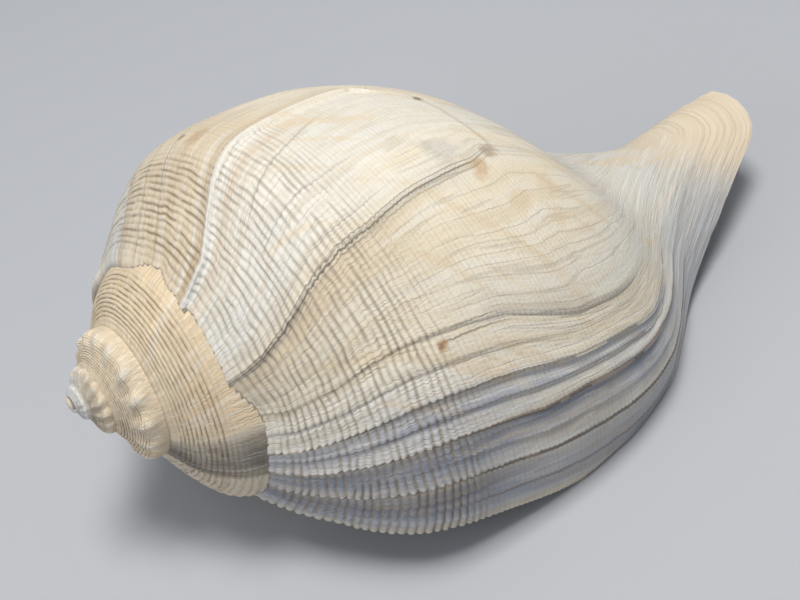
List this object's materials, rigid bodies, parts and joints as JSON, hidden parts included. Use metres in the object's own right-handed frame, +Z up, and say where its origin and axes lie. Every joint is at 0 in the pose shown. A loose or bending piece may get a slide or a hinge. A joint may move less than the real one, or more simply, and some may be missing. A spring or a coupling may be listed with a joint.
{
  "type": "fossil whelk shell",
  "caption": "Fossil whelk shell in one piece, with a knobbed spire, a swollen ribbed body whorl, an open aperture and a bent canal, lying on its aperture side.",
  "frame": {"origin": "centre of the shell's box on the surface that it rests on", "axes": "+X from the apex towards the end of the siphonal canal, +Z up, the aperture facing down"},
  "size_m": [0.1486, 0.0896, 0.0717],
  "materials": {
    "fossil_shell": "matt"
  },
  "bodies": {
    "root": {"shell": "fossil_shell"}
  },
  "joints": []
}
